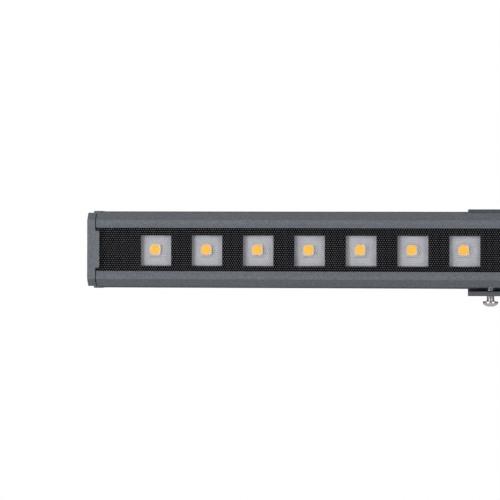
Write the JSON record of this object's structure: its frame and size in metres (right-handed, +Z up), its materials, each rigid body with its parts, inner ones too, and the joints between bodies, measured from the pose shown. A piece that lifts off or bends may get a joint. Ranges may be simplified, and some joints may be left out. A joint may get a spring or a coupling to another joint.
{
  "type": "led strip batten",
  "caption": "Slim dark grey linear wash light: a row of LEDs in square windows behind a dimpled clear cover, end caps, round connector, and a clip bracket with a clamp screw.",
  "frame": {"origin": "middle of the bracket's flat rear face, which is also the middle of the batten's length and height", "axes": "+X along the batten towards the input connector, the lit front faces -Y, +Y out of the bracket's rear face into the wall, +Z up"},
  "size_m": [0.5126, 0.052, 0.0605],
  "materials": {
    "powder_coat": "matte powder coat over aluminium",
    "clear_cover": "gloss",
    "mask_black": "matte",
    "gasket_black": "matte",
    "stainless": "satin",
    "nylon_black": "matte",
    "board_white": "satin",
    "led_package": "satin",
    "thermal_pad": "matte",
    "driver_green": "satin",
    "insulating_sheet": "matte",
    "ferrite": "matte",
    "capacitor_sleeve": "satin",
    "terminal_green": "satin",
    "lead_red": "satin",
    "lead_black": "satin",
    "nickel_brass": "satin"
  },
  "bodies": {
    "bracket": {"bracket": "powder_coat"},
    "batten": {"housing": "powder_coat", "end_cap_left": "powder_coat", "end_cap_right": "powder_coat", "front_cover": "clear_cover", "mask_plate": "mask_black", "cover_gasket": "gasket_black", "end_gasket_left": "gasket_black", "end_gasket_right": "gasket_black", "connector_oring": "gasket_black", "end_screw_left_1": "stainless", "end_screw_left_2": "stainless", "end_screw_left_3": "stainless", "end_screw_left_4": "stainless", "end_screw_right_1": "stainless", "end_screw_right_2": "stainless", "end_screw_right_3": "stainless", "end_screw_right_4": "stainless", "led_board_screw_1": "stainless", "led_board_screw_2": "stainless", "led_board_screw_3": "stainless", "led_board_screw_4": "stainless", "board_link": "nylon_black", "connector_insert": "nylon_black", "driver_chip": "nylon_black", "led_board_left": "board_white", "led_board_right": "board_white", "led_01": "led_package", "led_02": "led_package", "led_03": "led_package", "led_04": "led_package", "led_05": "led_package", "led_06": "led_package", "led_07": "led_package", "led_08": "led_package", "led_09": "led_package", "led_10": "led_package", "led_11": "led_package", "led_12": "led_package", "led_13": "led_package", "led_14": "led_package", "thermal_pad_left": "thermal_pad", "thermal_pad_right": "thermal_pad", "driver_board": "driver_green", "driver_insulator": "insulating_sheet", "driver_inductor": "ferrite", "driver_capacitor_1": "capacitor_sleeve", "driver_capacitor_2": "capacitor_sleeve", "driver_terminal": "terminal_green", "led_lead_red": "lead_red", "input_lead_red": "lead_red", "led_lead_black": "lead_black", "input_lead_black": "lead_black", "connector_body": "nickel_brass", "connector_nut": "nickel_brass"},
    "clamp_tip": {"clamp_tip": "nylon_black"},
    "clamp_screw": {"clamp_screw": "stainless"}
  },
  "joints": [
    {"name": "batten_slide", "type": "slide", "parent": "bracket", "child": "batten", "axis": [1, 0, 0], "range_m": [-0.22, 0.22]},
    {"name": "clamp_travel", "type": "slide", "parent": "bracket", "child": "clamp_tip", "axis": [0, 0, 1], "range_m": [-0.0048, 0]},
    {"name": "clamp_screw_turn", "type": "hinge", "parent": "clamp_tip", "child": "clamp_screw", "pos_m": [0, -0.0335, -0.0268], "axis": [0, 0, 1], "range_deg": [-2170, 0]}
  ],
  "couplings": [
    {"joint": "clamp_screw_turn", "follows": "clamp_travel", "rad_per_m": 7854}
  ]
}
